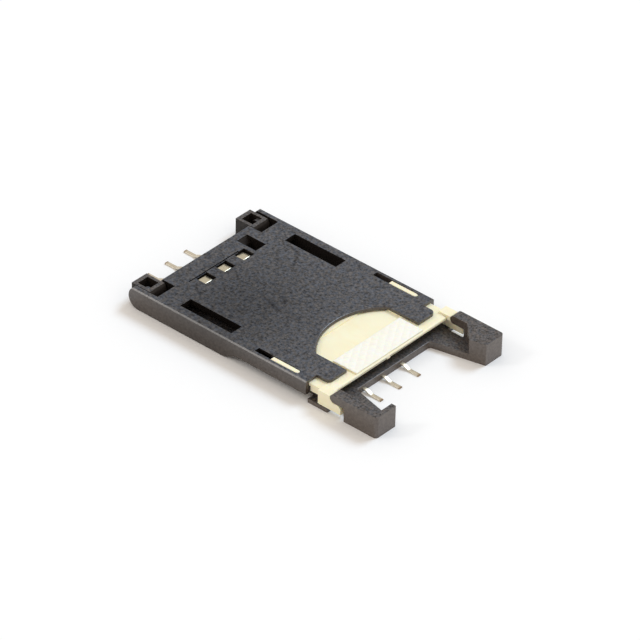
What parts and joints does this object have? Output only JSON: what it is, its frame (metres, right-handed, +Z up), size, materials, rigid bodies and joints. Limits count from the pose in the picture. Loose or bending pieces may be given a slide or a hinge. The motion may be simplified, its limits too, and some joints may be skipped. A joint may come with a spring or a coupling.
{
  "type": "SIM card socket",
  "caption": "Low board-mounted card socket with a hinged lid that holds the card, a sliding lock with side hooks, a base with arms and spring contacts with solder tails.",
  "frame": {"origin": "middle of the footprint on the board, between the rear tails' tips and the arms' fronts", "axes": "+X from the hinge towards the open end with the arms, +Y towards the side with the keyed arm, +Z up from the board"},
  "size_m": [0.0314, 0.0174, 0.0022],
  "materials": {
    "black_moulding": "moulded, fine matte grain",
    "cream_moulding": "moulded, satin, with a fine raised grip pattern on the pad",
    "plated_contact": "bright plated spring strip: tin on the tails, pale gold on the springs"
  },
  "bodies": {
    "base": {"base": "black_moulding", "contact_front_1": "plated_contact", "contact_front_2": "plated_contact", "contact_front_3": "plated_contact", "contact_rear_1": "plated_contact", "contact_rear_2": "plated_contact", "contact_rear_3": "plated_contact"},
    "lid": {"lid": "black_moulding"},
    "lock_slider": {"lock_slider": "cream_moulding"}
  },
  "joints": [
    {"name": "lid_hinge", "type": "hinge", "parent": "base", "child": "lid", "pos_m": [-0.01259, 0, 0.0012], "axis": [0, -1, 0], "range_deg": [0, 110]},
    {"name": "lock_slide", "type": "slide", "parent": "lid", "child": "lock_slider", "axis": [-1, 0, 0], "range_m": [0, 0.0014]}
  ]
}
